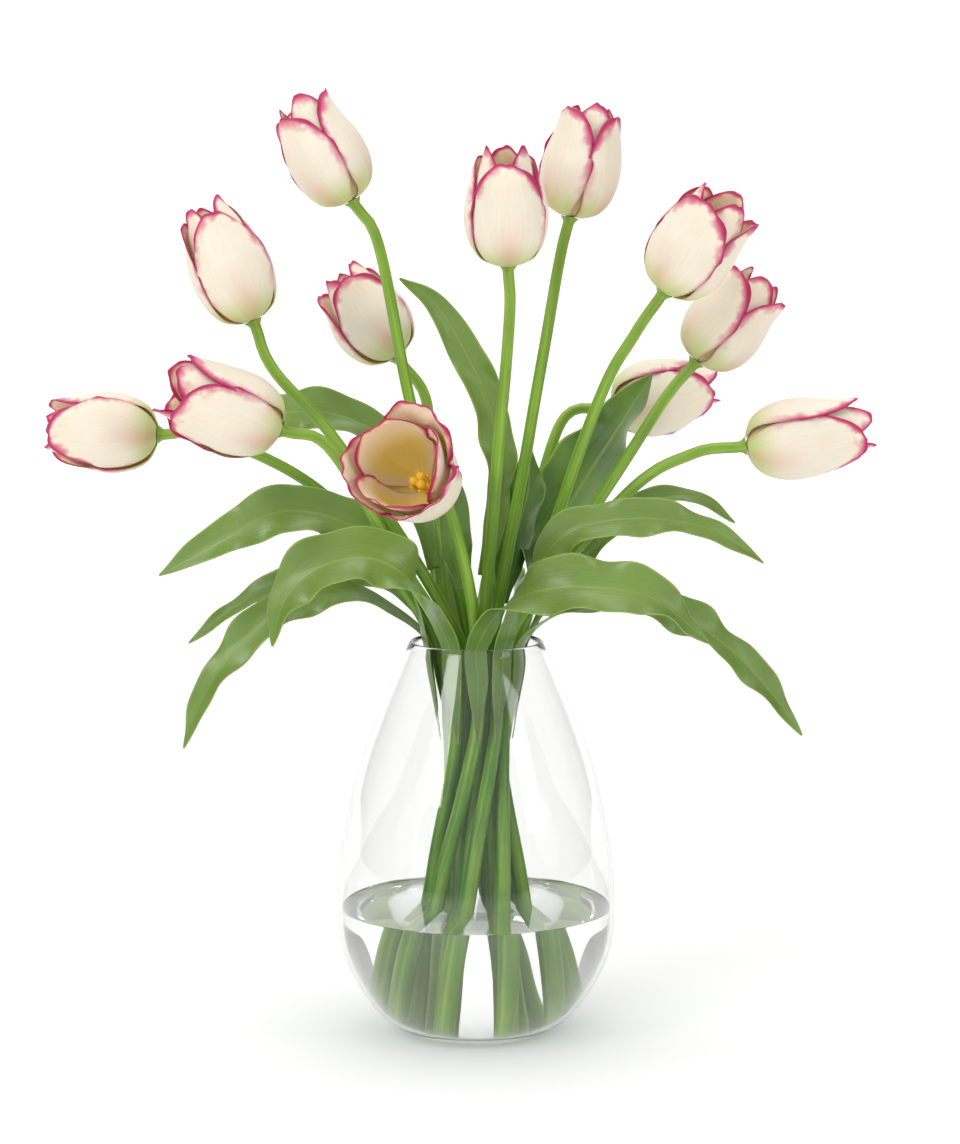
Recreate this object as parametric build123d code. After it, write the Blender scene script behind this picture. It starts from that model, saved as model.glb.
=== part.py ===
# A permanent tulip arrangement: twelve soft tulips with their leaves, whose stems
# are cast in clear resin at the bottom of a blown glass vase.
# Millimetres, +Z up. The origin is the centre of the vase's flat ground base, and
# the front of the arrangement faces -Y.
from build123d import *
import os
from math import asin, atan2, cos, degrees, radians, sin, sqrt

# Vase: radius and height of its outside, from the base to the rim
vase_outline = [(34, 0), (49, 8.5), (62.5, 27), (71.5, 66), (67.3, 107), (57, 148), (46, 176), (34.2, 203)]
glass = 2.2
floor_glass = 4.0  # thickness under the resin
wall_stations = 14
base_slope, rim_slope = (1, 0, 0.1), (-0.41, 0, 0.91)  # the way the outline leaves the base and meets the rim

# Resin
resin_level = 66.0
resin_gap = 0.05  # the resin has drawn back from the glass by this much
resin_block = 300.0  # width of the block that cuts the resin off at its level

# Stems, which narrow from the foot to the bloom. Heights, then radii of one stem
foot_height, waist_height, mouth_height = 8.0, 158.0, 205.0
foot_radius, waist_radius, mouth_radius, top_radius = 4.8, 3.2, 3.2, 2.8
foot_twist = -70.0  # turn of the bundle from the waist down to the feet
outer_ring = {"foot": 37.0, "waist": 14.2, "mouth": 21.5}
inner_ring = {"foot": 17.0, "waist": 6.5, "mouth": 9.5}
stem_stations = 11
wire_radius, wire_bore = 0.9, 1.15
cup_height, cup_radius = 3.0, 4.8  # flared seat under the petals

# Blooms
petal_thickness = 0.9
petal_ring_gap = 0.8  # between the outer and the inner ring of petals
petal_angle = 55.0  # half of the angle that a petal spans
petal_tip = 2.5  # half of the width of its tip
petal_stations = [0, 0.12, 0.26, 0.42, 0.58, 0.72, 0.84, 0.93, 1]
petal_shoulder = 0.5  # above this share of its length a petal rounds off to its tip
petal_base = 5.4  # outer radius of a bloom where it sits on its stem
petal_rise = (0.85, 0, 0.5)  # the slope at which the petals leave the cup
profile_stations = [0, 0.1, 0.25, 0.45, 0.7, 1]
inner_length_share = 0.97
belly_share = 0.45  # height of the widest place, as a share of the bloom's length
belly_radius, open_belly_radius = 19.5, 22.5
rim_radius, open_rim_radius = 12.5, 28.0
disc_radius, disc_height = 3.2, 2.5
pistil_radius, pistil_height, lobe_radius = 2.1, 15.0, 1.6
stamen_radius, stamen_height, stamen_lean = 0.6, 13.0, 14.0
stamen_foot = (1.2, 0, 0.6)  # where a stamen starts in the disc
anther_radius, anther_height = 1.1, 5.0

# Leaves
leaf_thickness = 0.9
leaf_stations = 10
sheath = [(19.6, 162.0), (24.4, 184.0), (28.4, 206.0)]  # radius and height in the neck
sheath_half_width = 3.3
turning_share = 0.3  # share of a leaf, above the neck, in which it turns to its own heading
widening_share = 0.45  # and in which it reaches its full width
taper_start, taper_power = 0.4, 2.2
tip_half_width = 0.7
sheath_hollow, blade_hollow = 0.14, 0.3  # depth across the leaf, as a share of its half-width

# Each tulip: its ring and angle at the waist, one bend above the mouth, where the
# bloom starts, the way it faces, its length, how far it opens (0 to 1) and its turn
tulips = {
    "01": (inner_ring, 112.5, (-33, -1, 325), (-61, 5, 425), (-28, 0, 48), 60, 0.10, 0),
    "02": (inner_ring, 202.5, (-65, -16, 300), (-110, -25, 366), (-24, 0, 57), 64, 0.05, 20),
    "03": (outer_ring, 135.0, (-24, 42, 285), (-40, 65, 342), (-28, 4, 40), 54, 0.10, 40),
    "04": (inner_ring, 292.5, (11, -20, 300), (16, -35, 394), (-2, -12, 57), 60, 0.10, 10),
    "05": (inner_ring, 22.5, (24, 9, 290), (47, 15, 416), (12, 2, 54), 58, 0.12, 35),
    "06": (outer_ring, 0.0, (60, -18, 324), (92, -28, 381), (30, -10, 46), 58, 0.35, 15),
    "07": (outer_ring, 45.0, (61, 14, 271), (111, 20, 343), (35, 2, 43), 56, 0.15, 50),
    "08": (outer_ring, 180.0, (-75, 6, 276), (-159, 5, 309), (-57, 0, 2), 60, 0.05, 30),
    "09": (outer_ring, 225.0, (-38, -33, 248), (-94, -45, 315), (-53, -12, 22), 62, 0.40, 5),
    "10": (outer_ring, 270.0, (-4, -36, 240), (-22, -58, 287), (-14, -38, 16), 54, 1.00, 25),
    "11": (outer_ring, 90.0, (28, 58, 262), (70, 90, 315), (57, 6, 13), 58, 0.10, 45),
    "12": (outer_ring, 315.0, (75, -24, 281), (132, -30, 306), (64, -2, 10), 64, 0.05, 55),
}

# Each leaf: its angle in the neck, or None where it grows from a stem higher up, the
# points of its midrib above that, its width and the roll of its blade
leaves = {
    "arching_left": (195, [(-38, -13, 244), (-66, -15, 266), (-98, -18, 272), (-131, -20, 257),
                           (-160, -22, 240)], 21, 55),
    "front_fold": (240, [(-31, -44, 238), (-54, -52, 253), (-80, -55, 247), (-95, -56, 231),
                         (-101, -56, 209)], 22, 35),
    "thin_left": (140, [(-42, 22, 228), (-67, 24, 236), (-106, 24, 228), (-129, 22, 214),
                        (-149, 20, 199)], 12, 55),
    "hanging_left": (167, [(-64, 4, 227), (-103, 0, 217), (-127, -4, 194), (-141, -4, 172),
                           (-150, -4, 148)], 15, 45),
    "front_right": (272, [(17, -44, 229), (47, -58, 239), (86, -60, 234), (115, -58, 211)], 26, -50),
    "level_right": (302, [(28, -36, 240), (44, -40, 262), (72, -42, 271), (112, -40, 267),
                          (144, -36, 248)], 16, -50),
    "falling_right": (332, [(50, -20, 224), (83, -22, 227), (119, -20, 209), (144, -18, 186),
                            (166, -16, 157)], 17, -45),
    "behind_right": (5, [(50, 16, 238), (80, 24, 267), (111, 26, 275), (134, 26, 261)], 14, -50),
    "upright_broad": (50, [(32, 34, 240), (54, 44, 277), (76, 52, 311), (92, 56, 336)], 42, 80),
    "back_left": (112, [(-14, 46, 238), (-17, 68, 251), (-20, 90, 240), (-22, 104, 216)], 20, 10),
    "back_right": (83, [(10, 50, 224), (16, 74, 228), (24, 98, 213), (28, 112, 190)], 18, -15),
    "upper_left": (None, [(-22, 17, 238), (-31, 20, 275), (-46, 22, 304), (-74, 24, 318),
                          (-106, 26, 318), (-156, 26, 312)], 17, 50),
    "upright_twist": (None, [(4, 14, 235), (11, 17, 279), (7, 18, 321), (-6, 16, 351),
                             (-21, 14, 375), (-39, 12, 388)], 13, 70),
    "upright_short": (None, [(13, 17, 220), (19, 19, 252), (25, 20, 280), (24, 21, 304)], 18, 85),
    "front_short": (None, [(-6, -17, 232), (-9, -20, 250), (-12, -24, 275), (-16, -26, 298)], 14, -48),
}


def polar(radius, angle, height):
    return Vector(radius * cos(radians(angle)), radius * sin(radians(angle)), height)


def section_point(radius, height):
    return Vector(radius, 0, height)


def inward(side, share):
    """The direction from an outline in the XZ plane towards the axis or up."""
    return (side % share).cross(Vector(0, 1, 0))


def smooth(value):
    value = min(max(value, 0.0), 1.0)
    return value * value * (3 - 2 * value)


def blend(low, high, share):
    return low + (high - low) * share


# Vase and resin


def wall_curve(inset):
    """The vase's side from the base to the rim, moved into the glass by the inset."""
    side = Spline(*[section_point(*pair) for pair in vase_outline], tangents=[base_slope, rim_slope])
    shares = [k / wall_stations for k in range(wall_stations + 1)]
    moved = [side @ share + inward(side, share) * inset for share in shares]
    moved[0] = moved[0] + Vector(0, 0, min(inset, glass) / glass * (floor_glass - glass))
    return Spline(*moved)


def make_vase():
    outer = wall_curve(0)
    inner = wall_curve(glass)
    rim_top = (outer @ 1 + inner @ 1) / 2 + (outer % 1) * (glass / 2)
    rim = ThreePointArc(outer @ 1, rim_top, inner @ 1)
    floor_edge = inner @ 0
    base = Polyline(floor_edge, section_point(0, floor_edge.Z), section_point(0, 0), outer @ 0)
    return revolve(make_face(Curve() + [outer, rim, inner, base]), Axis.Z)


def make_resin():
    side = wall_curve(glass + resin_gap)
    low, high = side @ 0, side @ 1
    middle = Polyline(high, section_point(0, high.Z), section_point(0, low.Z), low)
    full = revolve(make_face(Curve() + [side, middle]), Axis.Z)
    resin = full & Pos(0, 0, resin_level / 2) * Box(resin_block, resin_block, resin_level)
    for tulip in tulips.values():
        resin -= make_stem_body(tulip)
    return resin


# Stems and wires


def stem_path(tulip):
    ring, angle, bend, head, facing = tulip[:5]
    foot = polar(ring["foot"], angle + foot_twist, foot_height)
    waist = polar(ring["waist"], angle, waist_height)
    mouth = polar(ring["mouth"], angle, mouth_height)
    return Spline(foot, waist, mouth, Vector(bend), Vector(head), tangents=[waist - foot, Vector(facing)])


def tube(path, radius_at):
    sections = []
    for k in range(stem_stations + 1):
        place = path @ (k / stem_stations)
        along = path % (k / stem_stations)
        plane = Plane(origin=place, x_dir=Vector(0, 1, 0).cross(along), z_dir=along)
        sections.append(plane * Circle(radius_at(place.Z)))
    return loft(sections)


def stem_radius(head_height):
    """The radius at a height, for a stem whose bloom starts at head_height."""
    heights = [foot_height, waist_height, mouth_height, head_height]
    radii = [foot_radius, waist_radius, mouth_radius, top_radius]

    def radius_at(height):
        for k in range(3):
            if height <= heights[k + 1] or k == 2:
                share = (height - heights[k]) / (heights[k + 1] - heights[k])
                return blend(radii[k], radii[k + 1], min(share, 1))

    return radius_at


def bloom_plane(tulip, lift):
    head, facing, turn = Vector(tulip[3]), Vector(tulip[4]).normalized(), tulip[7]
    plane = Plane(origin=head + facing * lift, x_dir=Vector(0, 1, 0).cross(facing), z_dir=facing)
    return plane.location * Rot(0, 0, turn)


def make_stem_body(tulip):
    """A stem without its bore and without the cup under the bloom."""
    return tube(stem_path(tulip), stem_radius(tulip[3][2]))


def make_stem(tulip):
    cup = Pos(0, 0, cup_height / 2) * Cone(top_radius, cup_radius, cup_height)
    bore = tube(stem_path(tulip), lambda height: wire_bore)
    return make_stem_body(tulip) - bore + bloom_plane(tulip, 0) * cup


def make_wire(tulip):
    return tube(stem_path(tulip), lambda height: wire_radius)


# Blooms


def bloom_radius(share, opening):
    belly = blend(belly_radius, open_belly_radius, opening)
    rim = blend(rim_radius, open_rim_radius, opening)
    if share < belly_share:
        below = 1 - share / belly_share
        return petal_base + (belly - petal_base) * sqrt(1 - below * below)
    return blend(belly, rim, smooth((share - belly_share) / (1 - belly_share)))


def petal_half_width(share, opening):
    width = bloom_radius(share, opening) * sin(radians(petal_angle))
    if share > petal_shoulder:
        over = (share - petal_shoulder) / (1 - petal_shoulder)
        width *= sqrt(max(1 - over * over, 0))
    return max(width, petal_tip)


def strip(one_side, other_side):
    """A thin closed outline between two arcs of three points each."""
    first = ThreePointArc(*one_side)
    second = ThreePointArc(*reversed(other_side))
    return Wire([first, Line(first @ 1, second @ 0), second, Line(second @ 1, first @ 0)])


def make_petal(length, opening, inset):
    """One petal, set in from the outside of the cup by the inset."""
    profile = [section_point(bloom_radius(s, opening), s * length) for s in profile_stations]
    outline = Spline(*profile, tangents=[petal_rise, profile[-1] - profile[-2]])
    sections = []
    for share in petal_stations:
        normal = inward(outline, share) if 0 < share < 1 else Vector(-1, 0, 0)
        outside = outline @ share + inward(outline, share) * inset
        inside = outside + normal * petal_thickness
        width = petal_half_width((outline @ share).Z / length, opening)
        spread = degrees(asin(width / outside.X))
        sides = [[polar(place.X, spread * v, place.Z) for v in (-1, 0, 1)] for place in (outside, inside)]
        sections.append(strip(*sides))
    return Solid.make_loft(sections)


def petal_ring(length, opening, inset):
    petal = make_petal(length, opening, inset)
    return [Rot(0, 0, turn) * petal for turn in (0, 120, 240)]


def make_centre():
    centre = Pos(0, 0, disc_height / 2) * Cylinder(disc_radius, disc_height)
    centre += Pos(0, 0, pistil_height / 2) * Cylinder(pistil_radius, pistil_height)
    for k in range(3):
        lobe = Pos(lobe_radius, 0, pistil_height) * Sphere(lobe_radius)
        centre += Rot(0, 0, 120 * k) * lobe
    for k in range(6):
        filament = Pos(0, 0, stamen_height / 2) * Cylinder(stamen_radius, stamen_height)
        anther = Pos(0, 0, stamen_height) * Cylinder(anther_radius, anther_height)
        centre += Rot(0, 0, 60 * k + 30) * Pos(*stamen_foot) * Rot(0, stamen_lean, 0) * (filament + anther)
    return centre


# Leaves


def leaf_line(neck_angle, points):
    """The midrib, and the share of it that stands in the neck of the vase."""
    points = [Vector(p) for p in points]
    if neck_angle is None:
        return Spline(*points), 0.0
    in_neck = [polar(radius, neck_angle, height) for radius, height in sheath]
    midrib = Spline(*in_neck, *points)
    return midrib, (in_neck[-1] - in_neck[0]).length / midrib.length


def leaf_half_width(share, neck_share, width):
    half = blend(sheath_half_width, width / 2, smooth((share - neck_share) / widening_share))
    taper = max(0, (share - taper_start) / (1 - taper_start))
    return half * (1 - taper ** taper_power) + tip_half_width


def leaf_section(leaf, share, spots):
    """Points across the upper face of a leaf, and the direction to its underside."""
    neck_angle, points, width, roll = leaf
    midrib, neck_share = leaf_line(neck_angle, points)
    run = Vector(points[-1]) - Vector(points[0])
    heading = degrees(atan2(run.Y, run.X))
    start, turned = heading, 1.0
    if neck_angle is not None:
        start = heading + (neck_angle - heading + 180) % 360 - 180
        turned = smooth((share - neck_share) / turning_share)
    along = midrib % share
    side = polar(1, blend(start, heading, turned) + 90, 0)
    side = (side - along * side.dot(along)).normalized()
    tilt = radians(roll) * turned
    across = side * cos(tilt) + side.cross(along) * sin(tilt)
    under = across.cross(along)
    half = leaf_half_width(share, neck_share, width)
    hollow = under * -blend(sheath_hollow, blade_hollow, turned) * half
    return [midrib @ share + across * half * spot + hollow * spot ** 2 for spot in spots], under


def make_leaf(leaf):
    sections = []
    for k in range(leaf_stations + 1):
        upper, under = leaf_section(leaf, k / leaf_stations, (-1, 0, 1))
        sections.append(strip(upper, [place + under * leaf_thickness for place in upper]))
    return Solid.make_loft(sections)


# The whole arrangement


def save(shape, node):
    export_step(shape, f"parts/{node}.step")


os.makedirs("parts", exist_ok=True)

save(make_vase(), "vase")

for number, tulip in tulips.items():
    save(make_stem(tulip), f"tulip_{number}_stem")
save(make_resin(), "clear_resin")
save(Compound(children=[make_wire(tulip) for tulip in tulips.values()]), "stem_wires")

for number, tulip in tulips.items():
    length, opening = tulip[5:7]
    seat = bloom_plane(tulip, cup_height)
    outer_petals = petal_ring(length, opening, 0)
    inner_petals = petal_ring(length * inner_length_share, opening, petal_thickness + petal_ring_gap)
    save(Compound(children=[seat * p for p in outer_petals]), f"tulip_{number}_outer_petals")
    turned_seat = seat * Rot(0, 0, 60)
    save(Compound(children=[turned_seat * p for p in inner_petals]), f"tulip_{number}_inner_petals")

centre = make_centre()
centres = [bloom_plane(tulip, cup_height) * centre for tulip in tulips.values()]
save(Compound(children=centres), "flower_centres")

for name, leaf in leaves.items():
    save(make_leaf(leaf), f"leaf_{name}")
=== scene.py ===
# Permanent tulip arrangement in a blown glass vase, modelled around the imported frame.
# Metres, +Z up, the front faces -Y.
import math
import random
import bpy
from mathutils import Matrix, Vector


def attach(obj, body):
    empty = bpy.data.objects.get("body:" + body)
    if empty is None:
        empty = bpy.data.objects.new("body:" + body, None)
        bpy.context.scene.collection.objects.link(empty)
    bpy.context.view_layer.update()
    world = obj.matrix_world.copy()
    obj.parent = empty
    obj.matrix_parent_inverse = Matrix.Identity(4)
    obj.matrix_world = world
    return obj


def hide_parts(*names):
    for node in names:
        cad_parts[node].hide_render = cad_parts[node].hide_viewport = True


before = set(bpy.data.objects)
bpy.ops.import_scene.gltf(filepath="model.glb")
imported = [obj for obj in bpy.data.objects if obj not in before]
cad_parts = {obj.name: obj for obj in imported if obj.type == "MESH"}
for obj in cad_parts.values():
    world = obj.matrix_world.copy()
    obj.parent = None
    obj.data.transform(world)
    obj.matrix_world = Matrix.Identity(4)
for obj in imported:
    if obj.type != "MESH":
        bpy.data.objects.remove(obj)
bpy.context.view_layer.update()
mm = 0.001
rad = math.radians


# ---- camera

view = {"place": (0.002, -1.7612, 0.4727), "lookDown": 7.56, "lens": 109.5}

bpy.ops.object.camera_add(location=view["place"], rotation=(rad(90 - view["lookDown"]), 0, 0))
camera = bpy.context.object
camera.data.lens = view["lens"]
bpy.context.scene.camera = camera
print("camera in place")


# ---- helpers

def blend(low, high, share):
    return low + (high - low) * share


def smooth(low, high, value):
    share = min(max((value - low) / (high - low), 0), 1)
    return share * share * (3 - 2 * share)


def polar(radius, angle, height):
    return Vector((radius * math.cos(rad(angle)), radius * math.sin(rad(angle)), height))


def curvePoint(points, share):  # a smooth line through the points
    spot = min(share, 0.99999) * (len(points) - 1)
    k = int(spot)
    t = spot - k
    b, c = points[k], points[k + 1]
    a = points[k - 1] if k else b * 2 - c
    d = points[k + 2] if k + 2 < len(points) else c * 2 - b
    return (b * 2 + (c - a) * t + (a * 2 - b * 5 + c * 4 - d) * t ** 2 + (b * 3 - a - c * 3 + d) * t ** 3) / 2


def evenLine(points, steps, fine=400):  # the same line in steps of one length
    spots = [curvePoint(points, k / fine) for k in range(fine + 1)]
    runs = [0.0]
    for a, b in zip(spots, spots[1:]):
        runs.append(runs[-1] + (b - a).length)
    line, k = [], 0
    for step in range(steps + 1):
        want = runs[-1] * step / steps
        while k < fine - 1 and runs[k + 1] < want:
            k += 1
        line.append(spots[k].lerp(spots[k + 1], min((want - runs[k]) / max(runs[k + 1] - runs[k], 1e-9), 1)))
    return line


def headingAt(line, k):
    return (line[min(k + 1, len(line) - 1)] - line[max(k - 1, 0)]).normalized()


def pickOnly(*pieces):
    bpy.ops.object.select_all(action="DESELECT")
    for piece in pieces:
        piece.select_set(True)
    bpy.context.view_layer.objects.active = pieces[0]


def addSheet(name, columns, rows, shape):
    # a flat grid with its UV map, each point then laid where shape(u, v) says
    bpy.ops.object.select_all(action="DESELECT")
    bpy.ops.mesh.primitive_grid_add(x_subdivisions=columns, y_subdivisions=rows, size=2, location=(0, 0, 0))
    piece = bpy.context.object
    piece.name = name
    for vertex in piece.data.vertices:
        vertex.co = shape((vertex.co.x + 1) / 2, (vertex.co.y + 1) / 2)
    return piece


def addRim(piece, distance):
    # how far each point is from the edge of its petal or leaf, in millimetres
    rim = piece.data.attributes.new("rim", "FLOAT", "POINT")
    for k, value in enumerate(distance):
        rim.data[k].value = value


def finishWith(piece, kind, **settings):
    pickOnly(piece)
    modifier = piece.modifiers.new(kind.title(), kind)
    for name, value in settings.items():
        setattr(modifier, name, value)
    bpy.ops.object.modifier_apply(modifier=modifier.name)


def joinPieces(pieces, name):
    pickOnly(*pieces)
    bpy.ops.object.join()
    whole = bpy.context.object
    whole.name = name
    whole.data.name = name
    return whole


def standFor(piece, slot, *nodes):
    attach(piece, "root")
    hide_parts(*nodes)


# ---- materials

def colour(code):  # sRGB hex to linear
    parts = [int(code[k:k + 2], 16) / 255 for k in (0, 2, 4)]
    return [*(c / 12.92 if c <= 0.04045 else ((c + 0.055) / 1.055) ** 2.4 for c in parts), 1]


def addNode(tree, kind, inputs, **settings):
    node = tree.nodes.new("ShaderNode" + kind)
    for name, value in settings.items():
        setattr(node, name, value)
    for key, value in inputs.items():
        if isinstance(value, bpy.types.NodeSocket):
            tree.links.new(value, node.inputs[key])
        else:
            node.inputs[key].default_value = value
    return node


def newMaterial(name, **settings):
    material = bpy.data.materials.new(name)
    material.use_nodes = True
    tree = material.node_tree
    shader = tree.nodes["Principled BSDF"]
    for key, value in settings.items():
        shader.inputs[key.replace("_", " ")].default_value = value
    return material, tree, shader


def softenLight(shader, look):
    shader.inputs["Subsurface Weight"].default_value = look["softness"]
    shader.inputs["Subsurface Radius"].default_value = look["softReach"]
    shader.inputs["Subsurface Scale"].default_value = look["softDepth"]


petalLook = {
    "cream": "F0DBC3", "ivory": "F6EAD9", "blush": "DB8F88", "base": "C6D084", "pink": "CB3F79",
    "rim": "A81C56", "gold": "F6E08E", "peach": "F8E2C8", "veins": 30, "bandNarrow": 2.0, "bandWide": 8.0,
    "insideBand": 0.55, "roughness": 0.55, "ior": 1.45, "cloud": 60, "feather": 130, "veinStretch": 1.6,
    "bump": 0.22, "bumpDepth": 0.0006, "softness": 0.3, "softReach": (1.0, 0.55, 0.4), "softDepth": 0.003,
}


def petalMaterial(name, inside):
    # soft-touch moulded polyurethane, tinted by airbrush: matt, slightly see-through, with fine moulded veins
    look = petalLook
    material, tree, shader = newMaterial(name, Roughness=look["roughness"], IOR=look["ior"])
    uv = addNode(tree, "UVMap", {}, uv_map="UVMap")
    across = addNode(tree, "SeparateXYZ", {0: uv.outputs[0]})
    rim = addNode(tree, "Attribute", {}, attribute_name="rim")
    where = addNode(tree, "TexCoord", {})
    cloud = addNode(tree, "TexNoise", {"Vector": where.outputs["Object"], "Scale": look["cloud"],
                                       "Detail": 2})
    feather = addNode(tree, "TexNoise", {"Vector": where.outputs["Object"], "Scale": look["feather"],
                                         "Detail": 3})
    off = addNode(tree, "Math", {0: across.outputs[0], 1: 0.5}, operation="SUBTRACT")
    side = addNode(tree, "Math", {0: off.outputs[0]}, operation="ABSOLUTE")

    if inside:
        body = addNode(tree, "Mix", {0: cloud.outputs[0], 6: colour(look["peach"]), 7: colour(look["cream"])},
                       data_type="RGBA")
        low = addNode(tree, "MapRange", {0: across.outputs[1], 1: 0.4, 2: 0.85, 3: 1.0, 4: 0.0},
                      interpolation_type="SMOOTHSTEP")
        middle = addNode(tree, "MapRange", {0: side.outputs[0], 1: 0.28, 2: 0.42, 3: 1.0, 4: 0.0},
                         interpolation_type="SMOOTHSTEP")
        golden = addNode(tree, "Math", {0: low.outputs[0], 1: middle.outputs[0]}, operation="MULTIPLY")
        body = addNode(tree, "Mix", {0: golden.outputs[0], 6: body.outputs[2], 7: colour(look["gold"])},
                       data_type="RGBA")
    else:
        body = addNode(tree, "Mix", {0: cloud.outputs[0], 6: colour(look["cream"]), 7: colour(look["ivory"])},
                       data_type="RGBA")
        foot = addNode(tree, "MapRange", {0: across.outputs[1], 1: 0.02, 2: 0.32, 3: 0.9, 4: 0.0},
                       interpolation_type="SMOOTHSTEP")
        body = addNode(tree, "Mix", {0: foot.outputs[0], 6: body.outputs[2], 7: colour(look["base"])},
                       data_type="RGBA")
        rise = addNode(tree, "MapRange", {0: across.outputs[1], 1: 0.05, 2: 0.62, 3: 0.85, 4: 0.0},
                       interpolation_type="SMOOTHSTEP")
        middle = addNode(tree, "MapRange", {0: side.outputs[0], 1: 0.02, 2: 0.26, 3: 1.0, 4: 0.0},
                         interpolation_type="SMOOTHSTEP")
        blush = addNode(tree, "Math", {0: rise.outputs[0], 1: middle.outputs[0]}, operation="MULTIPLY")
        patchy = addNode(tree, "Math", {0: blush.outputs[0], 1: cloud.outputs[0]}, operation="MULTIPLY")
        body = addNode(tree, "Mix", {0: patchy.outputs[0], 6: body.outputs[2], 7: colour(look["blush"])},
                       data_type="RGBA")

    # the airbrushed edge runs inwards in short feathers and fades towards the foot of the petal
    share = look["insideBand"] if inside else 1
    reach = addNode(tree, "MapRange", {0: feather.outputs[0], 1: 0.35, 2: 0.65, 3: look["bandNarrow"] * share,
                                       4: look["bandWide"] * share})
    nearness = addNode(tree, "MapRange", {0: rim.outputs["Fac"], 1: 0.2, 2: reach.outputs[0], 3: 1.0, 4: 0.0},
                       interpolation_type="SMOOTHSTEP")
    height = addNode(tree, "MapRange", {0: across.outputs[1], 1: 0.18, 2: 0.5, 3: 0.12, 4: 1.0})
    edge = addNode(tree, "Math", {0: nearness.outputs[0], 1: height.outputs[0]}, operation="MULTIPLY")
    body = addNode(tree, "Mix", {0: edge.outputs[0], 6: body.outputs[2], 7: colour(look["pink"])},
                   data_type="RGBA")
    line = addNode(tree, "MapRange", {0: rim.outputs["Fac"], 1: 0.3, 2: 1.7, 3: 0.9, 4: 0.0})
    dark = addNode(tree, "Math", {0: line.outputs[0], 1: height.outputs[0]}, operation="MULTIPLY")
    body = addNode(tree, "Mix", {0: dark.outputs[0], 6: body.outputs[2], 7: colour(look["rim"])},
                   data_type="RGBA")

    # veins run from the foot to the tip, about a millimetre and a half apart
    stretch = addNode(tree, "Mapping", {"Vector": uv.outputs[0],
                                        "Scale": (look["veins"], look["veinStretch"], 1)})
    veins = addNode(tree, "TexNoise", {"Vector": stretch.outputs[0], "Scale": 1.0, "Detail": 3})
    shade = addNode(tree, "MapRange", {0: veins.outputs[0], 1: 0.3, 2: 0.7, 3: 0.965, 4: 1.02})
    veined = addNode(tree, "VectorMath", {0: body.outputs[2], "Scale": shade.outputs[0]}, operation="SCALE")
    tree.links.new(veined.outputs[0], shader.inputs["Base Color"])
    bump = addNode(tree, "Bump", {"Height": veins.outputs[0], "Strength": look["bump"],
                                  "Distance": look["bumpDepth"]})
    tree.links.new(bump.outputs[0], shader.inputs["Normal"])
    softenLight(shader, look)
    return material


leafLook = {
    "deep": "345518", "fresh": "64882C", "under": "8AA350", "rib": "90A84C", "veins": 26, "veinStretch": 1.2,
    "roughness": 0.34, "ior": 1.5, "wax": 0.3, "waxRoughness": 0.25, "cloud": 26, "paleBack": 0.55,
    "bump": 0.4, "bumpDepth": 0.0008, "softness": 0.12, "softReach": (0.5, 1.0, 0.2), "softDepth": 0.002,
}


def leafMaterial(name, underside):
    # soft-touch moulded leaf: satin, waxy, with parallel veins and a paler back
    look = leafLook
    material, tree, shader = newMaterial(name, Roughness=look["roughness"], IOR=look["ior"],
                                         Coat_Weight=look["wax"], Coat_Roughness=look["waxRoughness"])
    uv = addNode(tree, "UVMap", {}, uv_map="UVMap")
    across = addNode(tree, "SeparateXYZ", {0: uv.outputs[0]})
    rim = addNode(tree, "Attribute", {}, attribute_name="rim")
    where = addNode(tree, "TexCoord", {})
    cloud = addNode(tree, "TexNoise", {"Vector": where.outputs["Object"], "Scale": look["cloud"],
                                       "Detail": 3})
    patch = addNode(tree, "MapRange", {0: cloud.outputs[0], 1: 0.32, 2: 0.68})
    body = addNode(tree, "Mix", {0: patch.outputs[0], 6: colour(look["deep"]), 7: colour(look["fresh"])},
                   data_type="RGBA")
    if underside:
        body = addNode(tree, "Mix", {0: look["paleBack"], 6: body.outputs[2], 7: colour(look["under"])},
                       data_type="RGBA")
    stretch = addNode(tree, "Mapping", {"Vector": uv.outputs[0],
                                        "Scale": (look["veins"], look["veinStretch"], 1)})
    veins = addNode(tree, "TexNoise", {"Vector": stretch.outputs[0], "Scale": 1.0, "Detail": 2})
    lines = addNode(tree, "MapRange", {0: veins.outputs[0], 1: 0.35, 2: 0.65, 3: 0.0, 4: 0.4})
    body = addNode(tree, "Mix", {0: lines.outputs[0], 6: body.outputs[2], 7: colour(look["fresh"])},
                   data_type="RGBA")
    off = addNode(tree, "Math", {0: across.outputs[0], 1: 0.5}, operation="SUBTRACT")
    side = addNode(tree, "Math", {0: off.outputs[0]}, operation="ABSOLUTE")
    midrib = addNode(tree, "MapRange", {0: side.outputs[0], 1: 0.008, 2: 0.035, 3: 0.5, 4: 0.0})
    body = addNode(tree, "Mix", {0: midrib.outputs[0], 6: body.outputs[2], 7: colour(look["rib"])},
                   data_type="RGBA")
    edge = addNode(tree, "MapRange", {0: rim.outputs["Fac"], 1: 0.1, 2: 0.6, 3: 0.8, 4: 0.0})
    body = addNode(tree, "Mix", {0: edge.outputs[0], 6: body.outputs[2], 7: colour(look["rib"])},
                   data_type="RGBA")
    tree.links.new(body.outputs[2], shader.inputs["Base Color"])
    height = addNode(tree, "Math", {0: veins.outputs[0], 1: midrib.outputs[0]}, operation="SUBTRACT")
    bump = addNode(tree, "Bump", {"Height": height.outputs[0], "Strength": look["bump"],
                                  "Distance": look["bumpDepth"]})
    tree.links.new(bump.outputs[0], shader.inputs["Normal"])
    softenLight(shader, look)
    return material


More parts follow.
